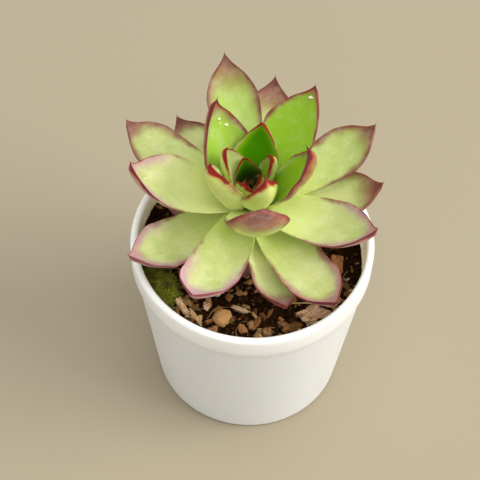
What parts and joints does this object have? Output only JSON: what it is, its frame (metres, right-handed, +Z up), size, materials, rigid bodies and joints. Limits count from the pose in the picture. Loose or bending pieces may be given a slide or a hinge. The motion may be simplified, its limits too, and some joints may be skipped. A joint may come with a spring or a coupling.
{
  "type": "potted succulent",
  "caption": "Rosette succulent with pointed, red-edged fleshy leaves on a short stem, standing in soil with bark chips and moss in a small round tapered plastic pot.",
  "frame": {"origin": "middle of the pot's flat underside", "axes": "+Z up out of the pot, -Y towards the side that the plant leans to, +X to the right seen from there"},
  "size_m": [0.0728, 0.0788, 0.1049],
  "materials": {
    "pot_plastic": "white, slightly translucent satin plastic with faint moulding marks",
    "soil": "moist dark brown potting soil, crumbly and matt",
    "leaf": "yellow-green fleshy leaf with a waxy bloom, red margins and mauve tips",
    "stem": "pale green to brown stem, matt, with leaf scars",
    "moss": "dense soft green moss",
    "bark": "dry rough bark and wood, tan to pinkish brown",
    "grit": "matt ochre pebble"
  },
  "bodies": {
    "root": {"pot": "pot_plastic", "soil": "soil", "stem_and_heart": "stem", "leaf_3": "leaf", "leaf_4": "leaf", "leaf_5": "leaf", "leaf_6": "leaf", "leaf_7": "leaf", "leaf_8": "leaf", "leaf_9": "leaf", "leaf_10": "leaf", "leaf_11": "leaf", "leaf_12": "leaf", "leaf_13": "leaf", "leaf_14": "leaf", "leaf_15": "leaf", "leaf_16": "leaf", "leaf_17": "leaf", "leaf_18": "leaf", "leaf_19": "leaf", "leaf_20": "leaf", "leaf_21": "leaf", "leaf_22": "leaf", "leaf_23": "leaf", "under_leaf_24": "leaf", "under_leaf_25": "leaf", "under_leaf_26": "leaf", "under_leaf_27": "leaf", "under_leaf_28": "leaf", "under_leaf_31": "leaf", "moss": "moss", "pebble_tan": "grit", "wood_sliver_1": "bark", "wood_sliver_2": "bark", "twig": "bark", "bark_large": "bark", "bark_1": "bark", "bark_2": "bark", "bark_3": "bark", "bark_4": "bark", "bark_5": "bark", "bark_6": "bark", "bark_orange": "bark", "grit_white": "grit", "chip_back_1": "bark", "chip_back_2": "bark", "chip_back_3": "bark", "chip_back_4": "bark", "chip_back_5": "bark", "chip_back_6": "bark", "chip_back_7": "bark", "chip_back_8": "bark"}
  },
  "joints": []
}
